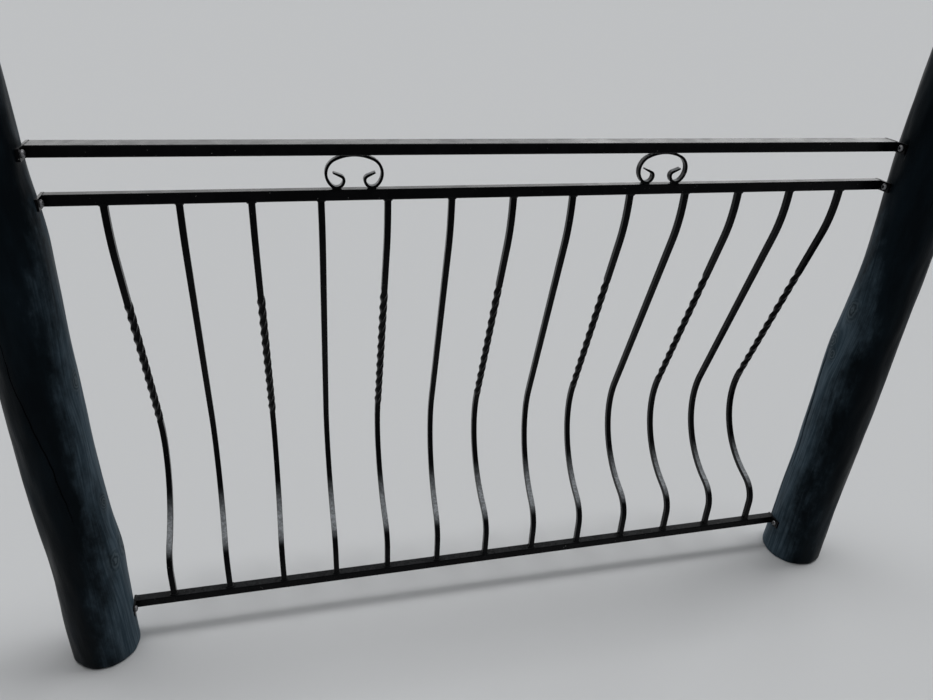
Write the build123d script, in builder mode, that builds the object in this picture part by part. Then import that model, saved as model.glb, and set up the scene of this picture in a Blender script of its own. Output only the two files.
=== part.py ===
from build123d import *
from math import cos, radians
import os

os.makedirs("parts", exist_ok=True)

# A bellied iron balustrade that closes a porch bay between two round timber posts.
# Three straight tubes carry thirteen bent square bars, every other one twisted, and
# two scrolls stand between the upper rail and the handrail.
# The origin is the middle of the left post's foot, on the floor. +X runs along the
# rails to the right post, +Y points outdoors, where the bars belly out, and +Z is up.

# Posts, tapered logs sawn level at both ends, with their tops a little out of plumb
post_spacing = 1748.0
post_height = 1400.0
post_flat_count = 32
left_post_foot_d = 140.0
left_post_top_d = 119.0
right_post_foot_d = 150.0
right_post_top_d = 124.0
post_splay = 5.0
right_post_lean = 30.0
post_end_chamfer = 3.0

# Rails, square and flat tube
rail_size = 20.0
rail_wall = 2.0
rail_corner = 2.5
handrail_width = 40.0
handrail_height = 20.0
rail_y = 25.0
floor_gap = 80.0
handrail_top = 1100.0
scroll_gap = 63.0

# End plates, welded on the rail ends and screwed to the posts
plate_thickness = 5.0
plate_tab = 24.0
plate_seat = 2.0
handrail_left_seat = 9.0
screw_hole_d = 6.0

# Balusters, square bar bent in one plane, as four straight runs joined by three bends
bar_size = 12.0
bar_count = 13
bar_pitch = 120.0
low_bend_rise = 93.0
belly_corner_rise = 187.0
belly_corner_reach = 220.0
top_bend_drop = 61.0
low_bend_radius = 60.0
belly_radius = 195.0
top_bend_radius = 300.0

# Balusters whose belly was welded on turned a few degrees toward the right post
belly_turn = {2: -4.0, 6: 3.0, 8: 4.0, 9: 2.5, 13: -2.0}

# Twist on every other baluster, on the long sloping run
twist_lead = 2.0
twist_length = 350.0
twist_turns = 3
twist_steps = 12

# Scrolls, flat bar bent into a low arch with both ends curled in
scroll_bar_thickness = 5.0
scroll_bar_depth = 12.0
scroll_offset = 300.0
crown_radius = 78.0
crown_turn = 25.5
side_turn = 113.0
loop_radius = 13.0
curl_radius = 8.0
curl_turn = 66.0
tip_length = 15.5
tip_thickness = 3.0

# Heights that follow from the rails
bottom_rail_top = floor_gap + rail_size
upper_rail_top = handrail_top - handrail_height - scroll_gap
upper_rail_under = upper_rail_top - rail_size
bar_length = upper_rail_under - bottom_rail_top

# Posts: side, X of the foot, diameters at foot and top, how far the top stands off the
# foot along X and Y, and the way to the rails
posts = [
    ("left", 0.0, left_post_foot_d, left_post_top_d, -post_splay, 0.0, 1),
    ("right", post_spacing, right_post_foot_d, right_post_top_d, post_splay, -right_post_lean, -1),
]


# Rails: name, height of the middle, width along Y, height
rails = [
    ("bottom_rail", bottom_rail_top - rail_size / 2, rail_size, rail_size),
    ("upper_rail", upper_rail_top - rail_size / 2, rail_size, rail_size),
    ("handrail", handrail_top - handrail_height / 2, handrail_width, handrail_height),
]

# Seats, cut into the posts for the end plates. The left log is slim at the height of the
# handrail, so there the plate stands deeper in the straight taper.
seat_depth = {(rail[0], post[0]): plate_seat for rail in rails for post in posts}
seat_depth["handrail", "left"] = handrail_left_seat
seat_room = 2 * handrail_left_seat


def plate_flat(post, rail):
    """X of the flat on a post that the end plate of a rail lies on."""
    side, foot_x, foot_d, top_d, drift_x, drift_y, to_rails = post
    rail_name, rail_z, rail_w, rail_h = rail
    share = rail_z / post_height
    radius = (foot_d + (top_d - foot_d) * share) / 2
    return foot_x + drift_x * share + to_rails * (radius - seat_depth[rail_name, side])


# Each rail is a tube with rounded corners that ends one plate short of both posts.
for rail in rails:
    rail_name, rail_z, rail_w, rail_h = rail
    rail_start = plate_flat(posts[0], rail) + plate_thickness
    rail_end = plate_flat(posts[1], rail) - plate_thickness
    with BuildPart() as tube:
        with BuildSketch(Plane.YZ.offset(rail_start)):
            with Locations((rail_y, rail_z)):
                RectangleRounded(rail_w, rail_h, rail_corner)
                Rectangle(rail_w - 2 * rail_wall, rail_h - 2 * rail_wall, mode=Mode.SUBTRACT)
        extrude(amount=rail_end - rail_start)
    tube.part.label = rail_name
    export_step(tube.part, f"parts/{rail_name}.step")

# End plates stand across the rail ends. The back edge is flush with the rail's outer
# face, and a tab with one screw hole reaches past the rail on the porch side.
for rail in rails:
    rail_name, rail_z, rail_w, rail_h = rail
    tab_hole_y = rail_y - rail_w / 2 - plate_tab / 2
    for post in posts:
        with BuildPart() as plate:
            with BuildSketch(Plane.YZ.offset(plate_flat(post, rail))):
                with Locations((rail_y - plate_tab / 2, rail_z)):
                    Rectangle(rail_w + plate_tab, rail_h)
                with Locations((tab_hole_y, rail_z)):
                    Circle(screw_hole_d / 2, mode=Mode.SUBTRACT)
            extrude(amount=post[-1] * plate_thickness)
        plate_name = f"{rail_name}_{post[0]}_plate"
        plate.part.label = plate_name
        export_step(plate.part, f"parts/{plate_name}.step")

# Posts: a log each, drawn with many long flats, and with a seat cut into it wherever a
# plate lies.
for post in posts:
    side, foot_x, foot_d, top_d, drift_x, drift_y, to_rails = post
    with BuildPart() as log:
        with BuildSketch():
            with Locations((foot_x, 0)):
                RegularPolygon(foot_d / 2, post_flat_count)
        with BuildSketch(Plane.XY.offset(post_height)):
            with Locations((foot_x + drift_x, drift_y)):
                RegularPolygon(top_d / 2, post_flat_count)
        loft(ruled=True)
        ends = log.faces().sort_by(Axis.Z)
        chamfer(ends[0].edges() + ends[-1].edges(), post_end_chamfer)
        for rail in rails:
            rail_name, rail_z, rail_w, rail_h = rail
            seat_x = plate_flat(post, rail) + to_rails * seat_room / 2
            with Locations((seat_x, rail_y - plate_tab / 2, rail_z)):
                Box(seat_room, rail_w + plate_tab, rail_h, mode=Mode.SUBTRACT)
    log.part.label = f"{side}_post"
    export_step(log.part, f"parts/{side}_post.step")

# Balusters: the straight lines of the bar meet at three corners, and each corner is
# bent to its radius. They are centred on the bottom rail. Odd ones from the left are
# twisted on the sloping run, where flat triangles join one turned square to the next.
bottom_ends = [plate_flat(post, rails[0]) for post in posts]
middle_x = sum(bottom_ends) / 2
for number in range(1, bar_count + 1):
    bar_x = middle_x + (number - (bar_count + 1) / 2) * bar_pitch
    foot = Plane((bar_x, rail_y, bottom_rail_top)).rotated((0, 0, -belly_turn.get(number, 0)))
    with BuildPart() as baluster:
        with BuildLine(Plane(foot.origin, x_dir=foot.y_dir, z_dir=foot.x_dir)) as run:
            FilletPolyline(
                (0, 0),
                (0, low_bend_rise),
                (belly_corner_reach, belly_corner_rise),
                (0, bar_length - top_bend_drop),
                (0, bar_length),
                radius=(low_bend_radius, belly_radius, top_bend_radius),
            )
        with BuildSketch(foot):
            Rectangle(bar_size, bar_size)
        sweep()
        if number % 2 == 1:
            slope = run.edges().filter_by(GeomType.LINE).sort_by(SortBy.LENGTH)[-1]
            twist_start = slope @ 0 + slope % 0 * twist_lead
            twist_plane = Plane(twist_start, x_dir=foot.x_dir, z_dir=slope % 0)
            with Locations(twist_plane):
                Box(
                    2 * bar_size,
                    2 * bar_size,
                    twist_length,
                    align=(Align.CENTER, Align.CENTER, Align.MIN),
                    mode=Mode.SUBTRACT,
                )
            half = bar_size / 2
            squares = []
            for step in range(twist_turns * twist_steps + 1):
                rise = twist_length * step / (twist_turns * twist_steps)
                turned = twist_plane.offset(rise).rotated((0, 0, 360 * step / twist_steps))
                corners = ((half, half), (-half, half), (-half, -half), (half, -half))
                squares.append([turned.from_local_coords(corner) for corner in corners])
            faces = [Face(Wire.make_polygon(squares[0])), Face(Wire.make_polygon(squares[-1]))]
            for lower, upper in zip(squares, squares[1:]):
                for i in range(4):
                    faces.append(Face(Wire.make_polygon((lower[i - 1], lower[i], upper[i - 1]))))
                    faces.append(Face(Wire.make_polygon((lower[i], upper[i], upper[i - 1]))))
            add(Solid(Shell(faces)))
    baluster_name = f"baluster_{number:02d}"
    baluster.part.label = baluster_name
    export_step(baluster.part, f"parts/{baluster_name}.step")

# Scrolls: each half is a chain of tangent arcs, crown, side, loop and curl, and ends
# in a drawn-out tip. The side's radius is what is left of the height between the rails.
crown_end = radians(crown_turn)
side_end = radians(crown_turn + side_turn)
crown_fall = crown_radius * (1 - cos(crown_end))
loop_fall = loop_radius * (1 + cos(side_end))
side_fall = scroll_gap - scroll_bar_thickness - crown_fall - loop_fall
side_radius = side_fall / (cos(crown_end) - cos(side_end))
loop_turn = 270 - crown_turn - side_turn
for side, scroll_x in (("left", middle_x - scroll_offset), ("right", middle_x + scroll_offset)):
    scroll_plane = Plane((scroll_x, rail_y, upper_rail_top), x_dir=(1, 0, 0), z_dir=(0, -1, 0))
    with BuildPart() as scroll:
        with BuildSketch(scroll_plane):
            with BuildLine() as half:
                crown = JernArc(
                    (0, scroll_gap - scroll_bar_thickness / 2), (-1, 0), crown_radius, crown_turn
                )
                shoulder = JernArc(crown @ 1, crown % 1, side_radius, side_turn)
                loop = JernArc(shoulder @ 1, shoulder % 1, loop_radius, loop_turn)
                curl = JernArc(loop @ 1, loop % 1, curl_radius, curl_turn)
            trace(half.line, scroll_bar_thickness)
            with BuildLine():
                tip_plane = Plane(curl @ 1, x_dir=curl % 1, z_dir=(0, 0, 1))
                Polyline(
                    tip_plane.from_local_coords((0, scroll_bar_thickness / 2)),
                    tip_plane.from_local_coords((tip_length, tip_thickness / 2)),
                    tip_plane.from_local_coords((tip_length, -tip_thickness / 2)),
                    tip_plane.from_local_coords((0, -scroll_bar_thickness / 2)),
                    close=True,
                )
            make_face()
            mirror(about=Plane.YZ)
        extrude(amount=scroll_bar_depth / 2, both=True)
    scroll.part.label = f"{side}_scroll"
    export_step(scroll.part, f"parts/{side}_scroll.step")
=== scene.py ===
from math import atan2, cos, pi, radians, sin, tan

import bpy
import numpy as np
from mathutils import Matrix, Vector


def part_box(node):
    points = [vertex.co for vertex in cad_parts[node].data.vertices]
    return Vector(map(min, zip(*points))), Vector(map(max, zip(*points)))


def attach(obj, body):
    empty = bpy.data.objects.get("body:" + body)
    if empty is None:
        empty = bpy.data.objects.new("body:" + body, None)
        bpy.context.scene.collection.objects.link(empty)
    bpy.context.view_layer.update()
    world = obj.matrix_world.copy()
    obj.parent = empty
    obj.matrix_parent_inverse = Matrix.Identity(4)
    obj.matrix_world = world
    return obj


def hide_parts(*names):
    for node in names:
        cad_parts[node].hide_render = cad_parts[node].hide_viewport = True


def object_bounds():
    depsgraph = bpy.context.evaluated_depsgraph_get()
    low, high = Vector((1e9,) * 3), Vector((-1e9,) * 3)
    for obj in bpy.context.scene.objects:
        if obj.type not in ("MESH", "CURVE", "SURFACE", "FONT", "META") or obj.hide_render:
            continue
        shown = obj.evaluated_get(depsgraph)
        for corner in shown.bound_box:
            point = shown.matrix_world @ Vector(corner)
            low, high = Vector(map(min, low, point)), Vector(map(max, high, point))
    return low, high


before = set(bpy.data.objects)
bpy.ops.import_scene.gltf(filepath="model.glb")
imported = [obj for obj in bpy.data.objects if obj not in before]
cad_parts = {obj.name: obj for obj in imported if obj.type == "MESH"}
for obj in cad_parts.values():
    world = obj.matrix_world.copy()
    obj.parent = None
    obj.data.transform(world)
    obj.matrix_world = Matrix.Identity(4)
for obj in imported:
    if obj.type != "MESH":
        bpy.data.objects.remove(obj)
cad_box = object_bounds()

# Posts: two round logs with the bark taken off, sawn level at both ends and brushed with
# blue-black stain. Drying has opened long cracks along their grain.
log_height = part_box("left_post")[1].z
log_columns = 420
log_rows = 206
saw_chamfer = 0.003
bend_rounding = 0.045
ripple_sway = 1.5
log_ripples = ((2, 1.1, 0.0003), (3, 2.3, 0.0003), (5, 3.7, 0.0003), (9, 5.9, 0.0003), (15, 8, 0.0002))
knot_tallness = 1.6
grain_radius = 0.07
grain_push = 0.85
grain_push_reach = 1.2
grain_push_tallness = 3
crack_waves = ((0.006, 0.037), (0.010, 0.110))
crack_crowding = 4.5
crowded_turn = 0.032
crack_end_width = 0.25
closed_opening = 0.02
# Painted shade: the cracks, and a soft band beside each, are painted near-black.
crack_shade_strength = 2.5
margin_shade_width = 0.004
margin_shade_darkness = 0.45
seat_margin = 0.001
seat_room_y = 0.003
seat_room_z = 0.004
end_ring_shares = (0.97, 0.85, 0.7, 0.5, 0.3, 0.1)
varnish_tint = (0.62, 0.84, 1.0, 1)
stain_colours = ((0.0010, 0.0019, 0.0028), (0.0042, 0.0078, 0.0112))
# Painted light: paler blue-greys painted on the side of each log that faces the outdoor lamps, as a
# painted sheen, with paler copies of the knot colours there too.
lit_side_colours = ((0.0275, 0.0460, 0.0620), (0.0780, 0.1110, 0.1390))
dark_knot_colours = ((0.0020, 0.0034, 0.0046), (0.0075, 0.0115, 0.0145))
lit_knot_colours = ((0.0160, 0.0240, 0.0300), (0.0800, 0.1050, 0.1200))
sawn_colours = ((0.0080, 0.0115, 0.0150), (0.0240, 0.0300, 0.0330))
# Painted shade in the cracks.
crack_shade_colour = (0.0008, 0.0010, 0.0013)
post_dust_colour = (0.20, 0.20, 0.19)


def new_object(name, data):
    """An object made of a mesh, a lamp or a camera, and linked to the scene."""
    thing = bpy.data.objects.new(name, data)
    bpy.context.scene.collection.objects.link(thing)
    return thing


def skin(name, parts, material, sharp):
    """One mesh with a closed skin for each part. A part is an array of rings of points: quads
    join each ring to the next one all the way round, and a fan to its own middle closes the
    first ring and the last. Rings run anticlockwise about the way they follow each other."""
    points, quads, fans = [], [], []
    base = 0
    for rings in parts:
        count, around = rings.shape[:2]
        row, j = np.meshgrid(np.arange(count - 1) * around, np.arange(around), indexing="ij")
        k = (j + 1) % around
        corners = [row + j, row + k, row + around + k, row + around + j]
        quads.append(base + np.stack(corners, -1).reshape(-1, 4))
        j, k, last = j[0], k[0], (count - 1) * around
        first_middle = np.full_like(j, count * around)
        last_middle = first_middle + 1
        fans.append(base + np.stack([first_middle, k, j], -1))
        fans.append(base + np.stack([last_middle, last + j, last + k], -1))
        points += [rings.reshape(-1, 3), rings[0].mean(axis=0)[None], rings[-1].mean(axis=0)[None]]
        base += count * around + 2
    faces = np.concatenate(quads).tolist() + np.concatenate(fans).tolist()
    mesh = bpy.data.meshes.new(name)
    mesh.from_pydata(np.concatenate(points).tolist(), [], faces)
    mesh.shade_smooth()
    mesh.set_sharp_from_angle(angle=sharp)
    mesh.materials.append(material)
    piece = new_object(name, mesh)
    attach(piece, "root")
    return piece


def mark_points(piece, name, values):
    """Writes a number or a vector for each point of a piece, as an attribute of its mesh."""
    kind, field = ("FLOAT", "value") if values.ndim == 1 else ("FLOAT_VECTOR", "vector")
    layer = piece.data.attributes.new(name, kind, "POINT")
    layer.data.foreach_set(field, values.astype(np.float32).ravel())


def plug(tree, socket, value):
    """Gives a socket a number, a colour, a vector or the output of another node."""
    if isinstance(value, bpy.types.NodeSocket):
        tree.links.new(value, socket)
    else:
        socket.default_value = value


def fill(tree, node, **inputs):
    """Plugs a value into each named input of a node, with underscores for its spaces."""
    for name, value in inputs.items():
        plug(tree, node.inputs[name.replace("_", " ")], value)


def shader(tree, kind, **inputs):
    """A new shader node with its inputs filled."""
    node = tree.nodes.new("ShaderNode" + kind)
    fill(tree, node, **inputs)
    return node


def noise(tree, stretch, detail=4.0, roughness=0.6, place=None):
    """Noise with so many waves to a metre along each axis, on Object coordinates or a place."""
    place = place or shader(tree, "TexCoord").outputs["Object"]
    stretched = shader(tree, "Mapping", Vector=place, Scale=stretch).outputs["Vector"]
    cloud = shader(tree, "TexNoise", Vector=stretched, Scale=1.0, Detail=detail, Roughness=roughness)
    return cloud.outputs["Fac"]


def ramp(tree, value, span, colours):
    """The value turned into the first colour, or grey level, below the span, the second one
    above it, and a soft change between the two."""
    node = shader(tree, "ValToRGB", Fac=value)
    node.color_ramp.interpolation = "EASE"
    for element, at, colour in zip(node.color_ramp.elements, span, colours):
        element.position = at
        element.color = (*colour, 1) if isinstance(colour, tuple) else (colour, colour, colour, 1)
    return node.outputs["Color"]


def mixed(tree, share, first, second):
    """Two colours mixed by a share from 0 to 1, each a value or the output of another node."""
    node = tree.nodes.new("ShaderNodeMix")
    node.data_type = "RGBA"
    sockets = [socket for socket in node.inputs if socket.enabled]
    for socket, value in zip(sockets, (share, first, second)):
        plug(tree, socket, (*value, 1) if isinstance(value, tuple) else value)
    return next(socket for socket in node.outputs if socket.enabled)


def computed(tree, operation, *values):
    """A Math node on numbers or other nodes' outputs."""
    node = shader(tree, "Math")
    node.operation = operation
    for socket, value in zip(node.inputs, values):
        plug(tree, socket, value)
    return node.outputs["Value"]


def waves(tree, value, density, unevenness, amount):
    """A wave from 0 to 1 over a value, with so much of another value added to its angle."""
    angle = computed(tree, "MULTIPLY", value, density)
    angle = computed(tree, "MULTIPLY_ADD", unevenness, amount, angle)
    return computed(tree, "MULTIPLY_ADD", computed(tree, "SINE", angle), 0.5, 0.5)


def bumped(tree, height, distance, strength, under=None):
    """The normal of a surface that a height from 0 to 1 pushes out by up to a distance, on top
    of the normal of another bump."""
    node = shader(tree, "Bump", Height=height, Distance=distance, Strength=strength)
    if under is not None:
        fill(tree, node, Normal=under)
    return node.outputs["Normal"]


def marked(tree, name, output="Fac"):
    """The numbers, or with the output Vector the vectors, that mark_points wrote."""
    node = shader(tree, "Attribute")
    node.attribute_name = name
    return node.outputs[output]


def new_material(name, **inputs):
    """A material with one Principled shader, and the values of its sockets that don't vary."""
    material = bpy.data.materials.new(name)
    material.use_nodes = True
    surface = material.node_tree.nodes["Principled BSDF"]
    fill(material.node_tree, surface, **inputs)
    return material, material.node_tree, surface


def dust_and_sheen_group():
    """A node group that says how much pale dust, and on the bars a painted highlight, lies at a point:
    none on what faces sideways or down, and the more the surface faces up the more, with the specks of
    a noise standing out."""
    group = bpy.data.node_groups.new("dust_and_sheen_nodes", "ShaderNodeTree")
    group.interface.new_socket("Amount", in_out="INPUT", socket_type="NodeSocketFloat")
    group.interface.new_socket("Dust", in_out="OUTPUT", socket_type="NodeSocketFloat")
    entry = group.nodes.new("NodeGroupInput")
    result = group.nodes.new("NodeGroupOutput")
    facing = shader(group, "NewGeometry")
    upward = shader(group, "SeparateXYZ", Vector=facing.outputs["Normal"])
    lying = ramp(group, upward.outputs["Z"], (0.58, 0.95), (0.0, 1.0))
    specks = ramp(group, noise(group, (150, 150, 150), 5.0, 0.7), (0.36, 0.72), (0.42, 1.0))
    uneven = computed(group, "MULTIPLY", lying, specks)
    fill(group, result, Dust=computed(group, "MULTIPLY", uneven, entry.outputs["Amount"]))
    return group


dust_and_sheen_nodes = dust_and_sheen_group()


def dust_and_sheen(tree, amount):
    """The group of dust and painted highlight with an amount, placed in a material."""
    node = tree.nodes.new("ShaderNodeGroup")
    node.node_tree = dust_and_sheen_nodes
    fill(tree, node, Amount=amount)
    return node.outputs["Dust"]


def stained_log():
    """Blue-black stain under a thin satin varnish, painted a blotchy paler blue-grey on the side that
    faces the outdoor lamps, knots included, as a painted sheen of their light. The grain runs round
    the knots, which have rings of their own, as sawn ends have. The cracks, and a soft band beside
    each, are painted near-black as painted shade."""
    material, tree, surface = new_material(
        "stained_log", Specular_IOR_Level=0.05, Specular_Tint=varnish_tint
    )
    blotch = noise(tree, (13, 13, 4), 5.0, 0.60)
    grain = noise(tree, (230, 230, 7), 5.0, 0.62, marked(tree, "along_grain", "Vector"))
    pores = noise(tree, (700, 700, 120), 2.0, 0.5)
    uneven = noise(tree, (30, 30, 30), 3.0)
    stain = ramp(tree, blotch, (0.38, 0.70), stain_colours)
    patches = computed(tree, "MULTIPLY_ADD", noise(tree, (60, 60, 35), 4.0, 0.7), 0.32, blotch)
    # Painted light: the side facing the outdoor lamps, broken up by blotches, is painted paler as a
    # painted sheen.
    facing = computed(tree, "MULTIPLY_ADD", marked(tree, "lit_side_share"), 0.38, patches)
    painted_lit_side = ramp(tree, facing, (0.35, 0.86), (0.0, 1.0))
    colour = mixed(tree, painted_lit_side, stain, ramp(tree, grain, (0.32, 0.70), lit_side_colours))
    from_knot = marked(tree, "from_knot")
    knot_rings = waves(tree, from_knot, 42.0, uneven, 22.0)
    dark_knot = mixed(tree, knot_rings, *dark_knot_colours)
    knotty = mixed(tree, painted_lit_side, dark_knot, mixed(tree, knot_rings, *lit_knot_colours))
    colour = mixed(tree, ramp(tree, from_knot, (0.10, 0.55), (0.85, 0.0)), colour, knotty)
    sawn_rings = waves(tree, marked(tree, "from_pith"), 1900.0, uneven, 9.0)
    colour = mixed(tree, marked(tree, "sawn_end"), colour, mixed(tree, sawn_rings, *sawn_colours))
    colour = mixed(tree, dust_and_sheen(tree, 0.20), colour, post_dust_colour)
    # Painted shade in the cracks and in a soft band beside them.
    colour = mixed(tree, marked(tree, "crack_shade"), colour, crack_shade_colour)
    sheen = ramp(tree, blotch, (0.35, 0.70), (0.34, 0.48))
    roughness = mixed(tree, painted_lit_side, sheen, (0.52, 0.52, 0.52))
    shaved = bumped(tree, blotch, 0.0050, 0.5)
    raised = bumped(tree, grain, 0.0006, 0.5, under=shaved)
    pitted = bumped(tree, pores, 0.0001, 0.5, under=raised)
    fill(tree, surface, Base_Color=colour, Roughness=roughness, Normal=pitted)
    return material


def along_log(z, heights, values):
    """Straight lines between the values at those heights, rounded off by averaging each point
    with its neighbours within the rounding above and below."""
    shifts = np.linspace(-bend_rounding, bend_rounding, 13)
    return np.mean([np.interp(z + shift, heights, values) for shift in shifts], axis=0)


def log_grid(cracks, random):
    """Turns and heights of a log's grid, and the turn of each crack's line in every row. A crack
    runs in straight lines between its points, plus two small sine waves. Columns are spaced by the
    inverse of the running sum of a density, which is 1 plus a bell at each crack's middle turn.
    Then each row slides its columns so that every crack keeps to its own column."""
    z = np.linspace(0, log_height, log_rows)
    lines = []
    for _, _, *path in cracks:
        heights, turns = np.array(sorted(path)).T
        phases = random.uniform(0, 2 * pi, 2)
        wander = sum(
            size * np.sin(2 * pi * z / length + phase)
            for (size, length), phase in zip(crack_waves, phases)
        )
        lines.append(np.interp(z, heights, np.radians(turns)) + wander)
    lines = np.array(lines)
    middles = lines.mean(axis=1)
    fine = np.linspace(0, 2 * pi, 7200, endpoint=False)
    away = (fine - middles[:, None] + pi) % (2 * pi) - pi
    density = 1 + crack_crowding * np.exp(-(away / crowded_turn) ** 2).sum(axis=0)
    share = np.cumsum(density) / density.sum()
    columns = np.interp(np.arange(log_columns) / log_columns, share - share[0], fine)
    order = np.argsort(middles)
    turn = np.tile(columns, (log_rows, 1))
    for i in order:
        pull = np.interp(columns, middles[order], (order == i).astype(float), period=2 * pi)
        turn = turn + pull * (lines[i] - middles[i])[:, None]
    return turn, np.tile(z[:, None], (1, log_columns)), lines[:, :, None]


def rippled(turn, z, radius, random):
    """The radius with soft lengthwise ripples: each is a cosine of so many turns, whose phase
    sways as a sine of the height."""
    for lobes, sways, depth in log_ripples:
        phase, slip = random.uniform(0, 2 * pi, 2)
        sway = ripple_sway * np.sin(sways * 2 * pi * z / log_height + slip)
        radius = radius + depth * np.cos(lobes * turn + phase + sway)
    return radius


def knotted(turn, z, radius, knots):
    """The radius with a bell-shaped rise for each knot, how far each point is from the nearest
    knot, where 1 is twice its size or more, and the turn whose grain each point has: that of
    the point itself, pushed aside by a taller bell round each knot."""
    from_knot = np.ones_like(z)
    grain_turn = turn
    for knot_z, knot_turn, size, rise in knots:
        turned = (turn - radians(knot_turn) + pi) % (2 * pi) - pi
        aside = radius * turned
        away = np.hypot(aside, (z - knot_z) / knot_tallness) / size
        radius = radius + rise * np.exp(-away ** 2)
        from_knot = np.minimum(from_knot, away / 2)
        near = np.hypot(aside, (z - knot_z) / grain_push_tallness) / (grain_push_reach * size)
        grain_turn = grain_turn - grain_push * turned * np.exp(-near ** 2)
    return radius, from_knot, grain_turn


def cracked(turn, z, radius, cracks, lines):
    """The radius with a V-shaped groove for each crack, which narrows and fades to nothing at both of
    its ends, and how much painted shade each point gets: 1 in a crack, less in a soft band beside it,
    and 0 elsewhere."""
    crack_shade = np.zeros_like(z)
    for (width, depth, *path), line in zip(cracks, lines):
        heights = [height for height, _ in path]
        share = np.clip((z - min(heights)) / (max(heights) - min(heights)), 0, 1)
        opening = np.sqrt(np.sin(pi * share).clip(0))
        aside = radius * np.abs((turn - line + pi) % (2 * pi) - pi)
        half_width = width * (crack_end_width + (1 - crack_end_width) * opening)
        inside = np.clip(1 - aside / half_width, 0, 1) * (opening > closed_opening)
        radius = radius - depth * opening * inside
        # Painted shade in a soft band beside the crack.
        margin_shade = margin_shade_darkness * np.exp(-(aside / margin_shade_width) ** 2) * opening
        crack_shade = np.maximum(crack_shade, margin_shade)
        crack_shade = np.maximum(crack_shade, np.clip(crack_shade_strength * inside * opening, 0, 1))
    return radius, crack_shade


def seated(side, turn, x, y, z):
    """X of a log's surface, moved to the back of its three plates wherever it lies behind one
    and would stand past it."""
    for rail in ("bottom_rail", "upper_rail", "handrail"):
        plate_low, plate_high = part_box(f"{rail}_{side}_plate")
        behind = (z > plate_low.z - seat_room_z) & (z < plate_high.z + seat_room_z)
        behind &= (y > plate_low.y - seat_room_y) & (y < plate_high.y + seat_room_y)
        if side == "left":
            x = np.where(behind & (np.cos(turn) > 0), np.minimum(x, plate_low.x + seat_margin), x)
        else:
            x = np.where(behind & (np.cos(turn) < 0), np.maximum(x, plate_high.x - seat_margin), x)
    return x


def add_log(side, foot, lean, lit_side, shape, knots, cracks, seed):
    """A log as a radius about a bent line that leans out of plumb. The shape gives heights, each
    with the middle's shift along X and the radius. A knot is its height, turn in degrees, size
    and rise. A crack is half its width, its depth, and the height and turn of points on its line.
    The lit side is the turn of the side painted paler as a painted sheen, the height up to which it is
    so in full, and how fast it fades above. The grain is that of a straight log of one radius."""
    random = np.random.default_rng(seed)
    turn, z, lines = log_grid(cracks, random)
    heights, shifts, radii = np.array(shape).T
    radius = rippled(turn, z, along_log(z, heights, radii), random)
    radius, from_knot, grain_turn = knotted(turn, z, radius, knots)
    radius, crack_shade = cracked(turn, z, radius, cracks, lines)
    from_end = np.minimum(z, log_height - z)
    radius = radius - np.clip(saw_chamfer - from_end, 0, saw_chamfer)
    low, high = cad_box
    x = foot[0] + along_log(z, heights, shifts) + radius * np.cos(turn)
    y = foot[1] + lean * z / log_height + radius * np.sin(turn)
    x, y = np.clip(x, low[0], high[0]), np.clip(y, low[1], high[1])
    wall = np.stack([seated(side, turn, x, y, z), y, z], axis=-1)

    shares = np.array(end_ring_shares)[:, None, None]
    foot_middle, top_middle = wall[0].mean(axis=0), wall[-1].mean(axis=0)
    foot_rings = (foot_middle + shares * (wall[0] - foot_middle))[::-1]
    top_rings = top_middle + shares * (wall[-1] - top_middle)
    rings = np.concatenate([foot_rings, wall, top_rings])
    piece = skin(f"{side}_post_log", [rings], log_material, sharp=radians(50))
    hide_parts(f"{side}_post")

    lit_turn, full_height, fade = lit_side
    # Painted light: how much painted sheen each point gets, by how far it faces the lit side, fading
    # out above a height where the log is left dark as painted shade.
    lit_side_share = np.cos(turn - radians(lit_turn)) - fade * (z - full_height).clip(0)
    sideways = grain_radius * np.stack([np.cos(grain_turn), np.sin(grain_turn)], axis=-1)
    along_grain = np.concatenate([sideways, z[..., None]], axis=-1)
    inward = shares * (1, 1, 0) + (0, 0, 1)
    end, on_end = np.zeros((len(shares), log_columns)), np.ones((len(shares), log_columns))
    marks = {
        "crack_shade": (end, crack_shade, shares[:, 0] ** 3 * crack_shade[-1]),
        "from_knot": (on_end, from_knot, on_end),
        "sawn_end": (on_end, np.zeros_like(z), on_end),
        "from_pith": (shares[::-1, 0] * radius[0], radius, shares[:, 0] * radius[-1]),
        "lit_side_share": (end, lit_side_share, end),
        "along_grain": (inward[::-1] * along_grain[0], along_grain, inward * along_grain[-1]),
    }
    for name, parts in marks.items():
        values = np.concatenate(parts)
        middles = np.stack([values[0].mean(axis=0), values[-1].mean(axis=0)])
        mark_points(piece, name, np.concatenate([values.reshape(-1, *values.shape[2:]), middles]))


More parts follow.
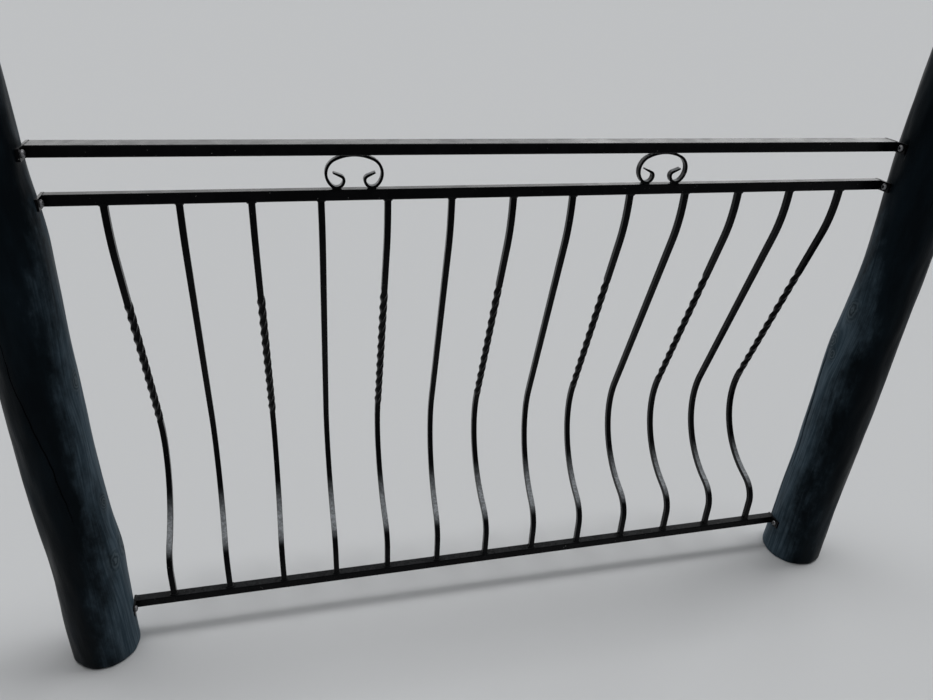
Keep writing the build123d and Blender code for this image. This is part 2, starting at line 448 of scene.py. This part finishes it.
log_material = stained_log()
add_log(
    "left",
    foot=(0.0, -0.003),
    lean=0.003,
    lit_side=(46, 0.25, 1.0),
    shape=(
        (0.00, 0.0020, 0.0685),
        (0.09, 0.0018, 0.0685),
        (0.18, 0.0034, 0.0688),
        (0.27, 0.0059, 0.0676),
        (0.37, -0.0013, 0.0669),
        (0.47, -0.0038, 0.0660),
        (0.75, -0.0043, 0.0653),
        (0.90, -0.0021, 0.0656),
        (0.98, -0.0015, 0.0647),
        (1.06, -0.0070, 0.0586),
        (1.13, -0.0068, 0.0590),
        (1.21, -0.0086, 0.0570),
        (1.40, -0.0080, 0.0562),
    ),
    knots=(
        (0.285, 4, 0.030, 0.0024),
        (0.410, 345, 0.018, 0.0012),
        (0.270, 330, 0.022, 0.0012),
        (0.685, 347, 0.020, 0.0014),
        (0.900, 150, 0.022, 0.0020),
        (0.420, 80, 0.020, 0.0018),
        (1.120, 60, 0.018, 0.0016),
    ),
    cracks=(
        (0.0009, 0.009, (0.82, 247), (0.71, 252), (0.62, 264), (0.53, 277), (0.40, 286)),
        (0.0013, 0.013, (0.06, 118), (0.40, 112), (0.95, 100)),
        (0.0009, 0.007, (0.62, 38), (0.95, 32), (1.32, 28)),
        (0.0010, 0.009, (0.90, 205), (1.15, 196), (1.40, 190)),
    ),
    seed=3,
)
right_low, right_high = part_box("right_post")
add_log(
    "right",
    foot=((right_low.x + right_high.x) / 2, 0.0),
    lean=-0.0285,
    lit_side=(103, 0.68, 5.0),
    shape=(
        (0.00, -0.0045, 0.0742),
        (0.09, -0.0042, 0.0716),
        (0.20, -0.0039, 0.0703),
        (0.32, 0.0010, 0.0693),
        (0.45, 0.0003, 0.0705),
        (0.60, -0.0020, 0.0715),
        (0.73, 0.0052, 0.0658),
        (0.86, 0.0100, 0.0631),
        (0.98, 0.0054, 0.0654),
        (1.08, 0.0034, 0.0662),
        (1.20, 0.0020, 0.0650),
        (1.40, 0.0036, 0.0606),
    ),
    knots=(
        (0.726, 181, 0.024, 0.0030),
        (0.642, 164, 0.022, 0.0032),
        (0.612, 177, 0.015, 0.0016),
        (0.520, 20, 0.022, 0.0022),
        (0.950, 300, 0.020, 0.0016),
    ),
    cracks=(
        (0.0034, 0.012, (0.64, 160), (0.50, 159), (0.40, 160), (0.27, 164)),
        (0.0026, 0.009, (0.30, 153), (0.19, 151), (0.06, 152)),
        (0.0013, 0.013, (0.20, 62), (0.60, 70), (1.00, 78)),
        (0.0009, 0.008, (0.62, 330), (0.95, 338), (1.25, 345)),
        (0.0010, 0.009, (0.98, 250), (1.20, 256), (1.40, 262)),
    ),
    seed=8,
)

# Rails: two square tubes and a wider flat one for the hand, cut to length. The whole panel
# was brushed in satin black after it was welded. The plates and rails keep their CAD shape.
gloss_tint = (0.24, 0.24, 0.26, 1)
paint_colours = ((0.0010, 0.0010, 0.0012), (0.0028, 0.0028, 0.0032))
chip_colour = (0.22, 0.22, 0.21)
# Painted highlight and dust: a pale bluish film on what faces up, standing in for the overhead light's
# reflection as well as for dust.
iron_dust_and_sheen_colour = (0.385, 0.405, 0.425)


def painted_iron(name, dust_and_sheen_amount):
    """Satin black paint on iron: black from the front, with a sheen at a low angle, a fine orange
    peel, slow changes of gloss where the brush left more or less, a pale bluish film on what faces up
    that is dust and a painted highlight of the overhead light, and a few chips as small as pinheads."""
    material, tree, surface = new_material(name, Specular_IOR_Level=0.15, Specular_Tint=gloss_tint)
    brushed = noise(tree, (34, 34, 34), 3.0, 0.55)
    chipped = ramp(tree, noise(tree, (240, 240, 240), 2.0, 0.5), (0.755, 0.775), (0.0, 1.0))
    dust_and_sheen_film = dust_and_sheen(tree, dust_and_sheen_amount)
    colour = mixed(tree, chipped, ramp(tree, brushed, (0.32, 0.72), paint_colours), chip_colour)
    # Painted highlight with dust: the pale bluish film laid over the paint on what faces up.
    colour = mixed(tree, dust_and_sheen_film, colour, iron_dust_and_sheen_colour)
    gloss = ramp(tree, brushed, (0.30, 0.75), (0.22, 0.34))
    roughness = mixed(tree, dust_and_sheen_film, gloss, (0.55, 0.55, 0.55))
    runs = bumped(tree, brushed, 0.0008, 0.35)
    peel = bumped(tree, noise(tree, (420, 420, 420), 2.0), 0.0002, 0.30, under=runs)
    fill(tree, surface, Base_Color=colour, Roughness=roughness, Normal=peel)
    return material


# The bars' full film is a painted highlight of the overhead light, with some dust; the rails get only
# a thin one.
rail_paint = painted_iron("rail_paint", dust_and_sheen_amount=0.05)
bar_paint = painted_iron("bar_paint", dust_and_sheen_amount=1.0)
for node_name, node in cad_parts.items():
    if node_name.endswith(("rail", "plate")):
        node.data.materials.clear()
        node.data.materials.append(rail_paint)

# Balusters: square bar, bent cold over a former so that each bellies outdoors, every other
# one twisted first on its sloping run. All stand between the lower two rails.
bar_size = 0.012
bar_count = 13
bar_pitch = 0.120
bar_edge_radius = 0.0009
low_bend_rise = 0.093
belly_corner_rise = 0.187
belly_corner_reach = 0.220
top_bend_drop = 0.061
bend_radii = (0.060, 0.195, 0.300)
bend_step = 0.005
twist_lead = 0.002
twist_length = 0.350
twist_turns = 3
twist_steps = 36
twist_room = 0.001
belly_turn = {2: -4.0, 6: 3.0, 8: 4.0, 9: 2.5, 13: -2.0}
corner_margin = 0.0006


def length_along(points):
    """The length along a line of points from its start to each of them."""
    return np.append(0, np.cumsum(np.linalg.norm(np.diff(points, axis=0), axis=1)))


def arc_points(start, headings, radius):
    """Points on a flat arc that leaves the start at the first heading, one for each heading. A
    radius above zero turns left, and one below zero turns right."""
    first = headings[0]
    swept = np.stack([np.sin(headings) - sin(first), cos(first) - np.cos(headings)], -1)
    return start + radius * swept


def bent_line(corners, radii, step):
    """Points about one step apart along a flat line through the corners, with an arc of each
    radius at the inner corners, and the heading of the line at each point."""
    corners = np.array(corners, float)
    places, headings = [], []
    start = corners[0]
    for before, corner, after, radius in zip(corners, corners[1:], corners[2:], radii):
        way_in = (corner - before) / np.linalg.norm(corner - before)
        way_out = (after - corner) / np.linalg.norm(after - corner)
        first = atan2(way_in[1], way_in[0])
        bend = (atan2(way_out[1], way_out[0]) - first + pi) % (2 * pi) - pi
        arc_start = corner - radius * tan(abs(bend) / 2) * way_in
        run = np.linspace(0, 1, int(np.linalg.norm(arc_start - start) / step) + 2, endpoint=False)
        places.append(start + run[:, None] * (arc_start - start))
        headings.append(np.full(len(run), first))
        turned = first + bend * np.linspace(0, 1, int(radius * abs(bend) / step) + 3)
        arc = arc_points(arc_start, turned, radius * np.sign(bend))
        places.append(arc[:-1])
        headings.append(turned[:-1])
        start = arc[-1]
    last = corners[-1] - start
    run = np.linspace(0, 1, int(np.linalg.norm(last) / step) + 2)
    places.append(start + run[:, None] * last)
    headings.append(np.full(len(run), atan2(last[1], last[0])))
    return np.concatenate(places), np.concatenate(headings)


def twisted_line(places, headings):
    """A bar's line with points ten degrees of twist apart on its sloping run, its headings, and
    how far the bar is twisted at each point."""
    length = length_along(places)
    slope_start = length[np.flatnonzero(np.isclose(headings, slope_heading))[0]]
    twist_start = slope_start + twist_lead
    fine = np.linspace(twist_start, twist_start + twist_length, twist_steps * twist_turns + 1)
    kept = length[(length < fine[0] - twist_room) | (length > fine[-1] + twist_room)]
    stations = np.sort(np.concatenate([kept, fine]))
    places = np.stack([np.interp(stations, length, places[:, axis]) for axis in (0, 1)], -1)
    headings = np.interp(stations, length, headings)
    twist = 2 * pi * twist_turns * np.clip((stations - twist_start) / twist_length, 0, 1)
    return places, headings, twist


def bar_section(width, depth, radius):
    """The outline of a square or flat bar, anticlockwise, for each width. Each corner is a
    quarter circle in three steps, with one more point a margin off each of its ends, so that
    the flats stay flat."""
    quarter = np.array([0, 0, 30, 60, 90, 90])
    slide = np.tile([-corner_margin, 0, 0, 0, 0, corner_margin], 4)
    corner = np.arange(4).repeat(len(quarter))
    turns = np.radians(np.tile(quarter, 4) + 90 * corner)
    right = np.where((corner == 0) | (corner == 3), 1, -1)
    top = np.where(corner < 2, 1, -1)
    width = np.atleast_1d(width)[:, None]
    across = right * (width / 2 - radius) + radius * np.cos(turns) - slide * np.sin(turns)
    deep = top * (depth / 2 - radius) + radius * np.sin(turns) + slide * np.cos(turns)
    return np.stack([across, deep + 0 * width], axis=-1)


def bar_rings(places, headings, section, origin, flat_x, flat_y, twist):
    """A section carried along a flat line. At each place it stands square to the heading and is
    turned about it by the twist. The plane's origin and two directions put it into space."""
    tangent = np.cos(headings)[:, None] * flat_x + np.sin(headings)[:, None] * flat_y
    inward = np.cos(headings)[:, None] * flat_y - np.sin(headings)[:, None] * flat_x
    side = np.cross(tangent, inward)
    c, s = np.cos(twist)[:, None], np.sin(twist)[:, None]
    across, deep = c * inward + s * side, c * side - s * inward
    middle = origin + places[:, :1] * flat_x + places[:, 1:] * flat_y
    return middle[:, None] + section[..., :1] * across[:, None] + section[..., 1:] * deep[:, None]


x_axis, y_axis, up = np.eye(3)
bottom_low, bottom_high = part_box("bottom_rail")
upper_low, upper_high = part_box("upper_rail")
rail_y = (bottom_low.y + bottom_high.y) / 2
panel_middle = (bottom_low.x + bottom_high.x) / 2
bar_length = upper_low.z - bottom_high.z
bar_corners = (
    (0, 0),
    (0, low_bend_rise),
    (belly_corner_reach, belly_corner_rise),
    (0, bar_length - top_bend_drop),
    (0, bar_length),
)
slope_heading = atan2(bar_length - top_bend_drop - belly_corner_rise, -belly_corner_reach)
square_section = bar_section(bar_size, bar_size, bar_edge_radius)
bar_feet = []
for number in range(1, bar_count + 1):
    foot = np.array([panel_middle + (number - (bar_count + 1) / 2) * bar_pitch, rail_y, bottom_high.z])
    swing = radians(belly_turn.get(number, 0.0))
    outdoors = np.array([sin(swing), cos(swing), 0.0])
    bar_feet.append((foot, outdoors))
    places, headings = bent_line(bar_corners, bend_radii, bend_step)
    twist = np.zeros_like(headings)
    if number % 2 == 1:
        places, headings, twist = twisted_line(places, headings)
    rings = bar_rings(places, headings, square_section, foot, outdoors, up, twist)
    bar = skin(f"baluster_{number:02d}_bar", [rings], bar_paint, sharp=radians(50))
    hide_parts(f"baluster_{number:02d}")

# Scrolls: flat bar bent on the flat into a low arch, with both ends rolled in and drawn out
# to a thin tip. One stands on each side of the middle, under the handrail.
scroll_offset = 0.300
scroll_thickness = 0.005
scroll_depth = 0.012
scroll_edge_radius = 0.0007
crown_radius = 0.078
crown_turn = radians(25.5)
side_turn = radians(113)
loop_radius = 0.013
curl_radius = 0.008
curl_turn = radians(66)
tip_length = 0.0155
tip_thickness = 0.003
steps_per_radian = 16
tip_points = 7


def arc_chain(start, heading, arcs, run):
    """Points and headings along arcs that join smoothly and all turn left, each a radius and
    an angle, and then along a straight run."""
    places, headings = [], []
    place = np.array(start, float)
    for radius, angle in arcs:
        turned = heading + angle * np.linspace(0, 1, int(angle * steps_per_radian) + 3)
        points = arc_points(place, turned, radius)
        places.append(points[:-1])
        headings.append(turned[:-1])
        place, heading = points[-1], turned[-1]
    steps = np.linspace(0, run, tip_points)
    places.append(place + steps[:, None] * np.array([cos(heading), sin(heading)]))
    headings.append(np.full(len(steps), heading))
    return np.concatenate(places), np.concatenate(headings)


scroll_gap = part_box("handrail")[0].z - upper_high.z
side_end = crown_turn + side_turn
crown_fall = crown_radius * (1 - cos(crown_turn))
side_fall = scroll_gap - scroll_thickness - crown_fall - loop_radius * (1 + cos(side_end))
side_radius = side_fall / (cos(crown_turn) - cos(side_end))
arcs = (
    (crown_radius, crown_turn),
    (side_radius, side_turn),
    (loop_radius, radians(270) - side_end),
    (curl_radius, curl_turn),
)
half, half_headings = arc_chain((0, scroll_gap - scroll_thickness / 2), pi, arcs, tip_length)
half_length = length_along(half)
drawn_out = np.clip((half_length - half_length[-1] + tip_length) / tip_length, 0, 1)
half_thickness = scroll_thickness + (tip_thickness - scroll_thickness) * drawn_out
scroll_line = np.concatenate([(half * (-1, 1))[:0:-1], half])
scroll_headings = np.concatenate([2 * pi - half_headings[:0:-1], half_headings])
thickness = np.concatenate([half_thickness[:0:-1], half_thickness])
untwisted = np.zeros_like(scroll_headings)
flat_section = bar_section(thickness, scroll_depth, scroll_edge_radius)
scroll_bases = []
for side, offset in (("left", -scroll_offset), ("right", scroll_offset)):
    base = np.array([panel_middle + offset, rail_y, upper_high.z])
    scroll_bases.append(base)
    rings = bar_rings(scroll_line, scroll_headings, flat_section, base, x_axis, up, untwisted)
    scroll = skin(f"{side}_scroll_bar", [rings], bar_paint, sharp=radians(50))
    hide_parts(f"{side}_scroll")

# Welds: arc-welded beads round both ends of every baluster, at the scrolls' three contacts
# and where each rail meets its plates. They were left as laid and painted over.
bead_around = 10
bead_taper = 0.0025
ripple_length = 0.0023
ripple_share = 0.09
swell_length = 0.017
swell_share = 0.12
walk_step = 0.0006
weld_overlap = 0.004
weld_sink = 0.0008
bar_bead_radii = (0.0025, 0.0031)
bar_bead_corner = 0.002
loop_bead_radii = (0.0028, 0.0033)
loop_bead_offset = 0.0050
loop_bead_rise = 0.0004
crown_bead_radii = (0.0015, 0.0018)
crown_bead_length = 0.026
plate_bead_radius = 0.0014
rail_corner = 0.0025
weld_random = np.random.default_rng(21)


def bead(path, away, radius):
    """A weld bead on a path of points. It is a tube whose radius has a short ripple and a long
    swell, two sine waves with seeded phases, and a taper to nothing at both ends."""
    length = length_along(path)
    ripple_phase, swell_phase = weld_random.uniform(0, 2 * pi, 2)
    uneven = 1 + ripple_share * np.sin(2 * pi * length / ripple_length + ripple_phase)
    uneven += swell_share * np.sin(2 * pi * length / swell_length + swell_phase)
    taper = np.sqrt(np.clip(np.minimum(length, length[-1] - length) / bead_taper, 0.02, 1))
    tangent = np.gradient(path, axis=0)
    tangent /= np.linalg.norm(tangent, axis=1)[:, None]
    side = np.cross(away, tangent)
    turn = np.linspace(0, 2 * pi, bead_around, endpoint=False)[:, None]
    ring = np.cos(turn) * side[:, None] + np.sin(turn) * away
    return path[:, None] + (radius * uneven * taper)[:, None, None] * ring


def round_walk(outline, start):
    """Points a step apart on a walk round a closed outline. It starts at a share of the whole
    way round and overlaps its own start, as a weld does."""
    closed = np.concatenate([outline, outline[:1]])
    length = length_along(closed)
    along = start * length[-1] + np.arange(0, length[-1] + weld_overlap, walk_step)
    return np.stack([np.interp(along % length[-1], length, closed[:, axis]) for axis in (0, 1)], -1)


bar_outline = bar_section(bar_size, bar_size, bar_bead_corner)[0]
for rail, rail_z, away in (("bottom_rail", bottom_high.z, up), ("upper_rail", upper_low.z, -up)):
    beads = []
    for foot, outdoors in bar_feet:
        sideways = np.cross(outdoors, up)
        walk = round_walk(bar_outline, weld_random.uniform())
        middle = np.array([foot[0], foot[1], rail_z])
        path = middle + walk[:, :1] * sideways + walk[:, 1:] * outdoors
        beads.append(bead(path, away, weld_random.uniform(*bar_bead_radii)))
    skin(f"{rail}_welds", beads, rail_paint, sharp=radians(180))

beads = []
loop_foot = half[np.argmin(half[:, 1]), 0]
across_bar = np.linspace(-0.5, 0.5, 25)[:, None] * scroll_depth * y_axis
along_crown = np.linspace(-0.5, 0.5, 41)[:, None] * crown_bead_length * x_axis
for base in scroll_bases:
    for foot_x in (-loop_foot, loop_foot):
        for way in (-1, 1):
            place = base + (foot_x + way * loop_bead_offset) * x_axis + loop_bead_rise * up
            beads.append(bead(place + across_bar, up, weld_random.uniform(*loop_bead_radii)))
    for way in (-1, 1):
        place = base + way * scroll_depth / 2 * y_axis + (scroll_gap - weld_sink) * up
        beads.append(bead(place + along_crown, up, weld_random.uniform(*crown_bead_radii)))
skin("scroll_welds", beads, rail_paint, sharp=radians(180))

beads = []
for rail in ("bottom_rail", "upper_rail", "handrail"):
    rail_low, rail_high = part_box(rail)
    rail_middle = np.array([0, (rail_low.y + rail_high.y) / 2, (rail_low.z + rail_high.z) / 2])
    width, height = rail_high.y - rail_low.y, rail_high.z - rail_low.z
    outline = bar_section(width - 2 * weld_sink, height - 2 * weld_sink, rail_corner)[0]
    for rail_end, way in ((rail_low.x, 1.0), (rail_high.x, -1.0)):
        walk = round_walk(outline, weld_random.uniform())
        path = rail_middle + rail_end * x_axis + walk[:, :1] * y_axis + walk[:, 1:] * up
        beads.append(bead(path, way * x_axis, plate_bead_radius))
skin("plate_welds", beads, rail_paint, sharp=radians(180))

# Screws: zinc-plated wood screws with a round washer head and a six-lobed socket. One goes
# through the tab of each plate into the log.
head_radius = 0.0065
head_height = 0.0042
washer_height = 0.0012
washer_edge = 0.0003
socket_radius = 0.0026
socket_rim = 0.0006
socket_lip = 0.0002
socket_depth = 0.0032
socket_corner = 0.0004
shank_radius = 0.0028
shank_end = 0.001
screw_tip_radius = 0.0006
screw_reach = 0.030
screw_around = 48
zinc_colours = ((0.09, 0.09, 0.095), (0.30, 0.30, 0.31))
# Painted shade: the socket is painted near-black towards its floor.
socket_shade_colour = (0.02, 0.02, 0.022)


def zinc_screws():
    """Zinc gone dull, scuffed where the driver slipped, and painted darker in the socket as painted
    shade.
    """
    material, tree, surface = new_material("zinc_screws", Metallic=0.85, Specular_IOR_Level=0.5)
    scuffs = noise(tree, (700, 700, 700), 4.0, 0.65)
    zinc = ramp(tree, scuffs, (0.34, 0.68), zinc_colours)
    # Painted shade in the socket.
    colour = mixed(tree, marked(tree, "socket"), zinc, socket_shade_colour)
    roughness = ramp(tree, scuffs, (0.30, 0.70), (0.30, 0.55))
    scratched = bumped(tree, scuffs, 0.0001, 0.4)
    fill(tree, surface, Base_Color=colour, Roughness=roughness, Normal=scratched)
    return material


def screw_profile():
    """How far out of the plate and how wide a screw is from its tip to the floor of its socket, how
    lobed it is there, and how much painted shade it gets: shank, washer, dome, and the socket's last
    three rings."""
    dome = np.linspace(0, pi / 2, 7)
    socket_out = (socket_lip, socket_depth - socket_corner, socket_depth)
    out = np.concatenate([
        (-screw_reach, -shank_end, 0.0, washer_edge),
        washer_height + (head_height - washer_height) * np.sin(dome),
        head_height - np.array(socket_out),
    ])
    radius = np.concatenate([
        (screw_tip_radius, shank_radius, shank_radius, head_radius),
        head_radius - (head_radius - socket_radius - socket_rim) * (1 - np.cos(dome)),
        (socket_radius, socket_radius * 0.9, socket_radius * 0.5),
    ])
    lobes, socket = np.zeros((2, len(out)))
    lobes[-3:] = (0.13, 0.13, 0.05)
    # Painted shade, deepening towards the floor of the socket.
    socket[-3:] = (0.3, 0.9, 1.0)
    return out, radius, lobes, socket


screw_material = zinc_screws()
screw_out, screw_radius, screw_lobes, screw_socket_shade = screw_profile()
screw_turn = np.linspace(0, 2 * pi, screw_around, endpoint=False)
lobed_radius = screw_radius[:, None] * (1 + screw_lobes[:, None] * np.cos(6 * screw_turn))
for rail in ("bottom_rail", "upper_rail", "handrail"):
    for side, way in (("left", 1.0), ("right", -1.0)):
        plate_low, plate_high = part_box(f"{rail}_{side}_plate")
        face_x = plate_high.x if way > 0 else plate_low.x
        tab_middle = (plate_low.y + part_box(rail)[0].y) / 2
        plate_middle = (plate_low.z + plate_high.z) / 2
        x = face_x + way * screw_out[:, None] + 0 * screw_turn
        y = tab_middle + lobed_radius * np.cos(way * screw_turn)
        z = plate_middle + lobed_radius * np.sin(way * screw_turn)
        rings = np.stack([x, y, z], -1)
        screw = skin(f"{rail}_{side}_screw", [rings], screw_material, sharp=radians(35))
        mark_points(screw, "socket", np.append(np.repeat(screw_socket_shade, screw_around), (0.0, 1.0)))

# Stage: a plain pale floor, light from a wide pale sky that is strongest overhead and
# outdoors, and a camera at the photograph's place.
floor_reach = 60.0
floor_colour = (0.60, 0.61, 0.62, 1)
sky_colour = (0.97, 0.985, 1, 1)
sky_strength = 0.18
seen_sky_more = 0.35
overhead_tilts = (-8, 12, 32)
overhead_spread = 20
overhead_strength = 0.62
outdoor_turns = (-48, 0, 48)
outdoor_spread = 50
outdoor_strengths = (0.66, 0.50, 0.66)
corners = ((-1, -1, 0), (1, -1, 0), (1, 1, 0), (-1, 1, 0))
floor_mesh = bpy.data.meshes.new("floor")
floor_mesh.from_pydata([floor_reach * np.array(corner) for corner in corners], [], [(0, 1, 2, 3)])
floor_mesh.materials.append(
    new_material("floor_paint", Base_Color=floor_colour, Roughness=1.0, Specular_IOR_Level=0.0)[0]
)
new_object("floor", floor_mesh)

world = bpy.data.worlds.new("studio")
bpy.context.scene.world = world
world.use_nodes = True
studio = world.node_tree
rays = shader(studio, "LightPath").outputs
seen = computed(studio, "MAXIMUM", rays["Is Camera Ray"], rays["Is Glossy Ray"])
seen = computed(studio, "MAXIMUM", seen, rays["Is Transmission Ray"])
glow = computed(studio, "MULTIPLY_ADD", seen, seen_sky_more, sky_strength)
fill(studio, studio.nodes["Background"], Color=sky_colour, Strength=glow)


def add_sky_light(name, direction, spread, strength):
    """Even light from a round patch of sky in a direction, so many degrees across."""
    lamp = bpy.data.lights.new(name, "SUN")
    lamp.energy = strength
    lamp.angle = radians(spread)
    x, y, z = direction
    new_object(name, lamp).rotation_euler = (atan2(np.hypot(x, y), z), 0, atan2(y, x) + pi / 2)


for number, tilt in enumerate(overhead_tilts, start=1):
    direction = (sin(radians(tilt)), 0.08, cos(radians(tilt)))
    add_sky_light(f"overhead_{number}", direction, overhead_spread, overhead_strength)
for number, (turn, strength) in enumerate(zip(outdoor_turns, outdoor_strengths), start=1):
    direction = (sin(radians(turn)), cos(radians(turn)), 0.22)
    add_sky_light(f"outdoors_{number}", direction, outdoor_spread, strength)

camera_data = bpy.data.cameras.new("photograph")
camera_data.lens = 29.043
camera_data.sensor_width = 36.0
camera_data.sensor_fit = "HORIZONTAL"
camera = new_object("photograph", camera_data)
camera.location = (0.4407, -1.3103, 1.4078)
camera.rotation_euler = [radians(angle) for angle in (61.8672, -2.8781, -13.3844)]
bpy.context.scene.camera = camera
bpy.context.scene.view_settings.view_transform = "Standard"
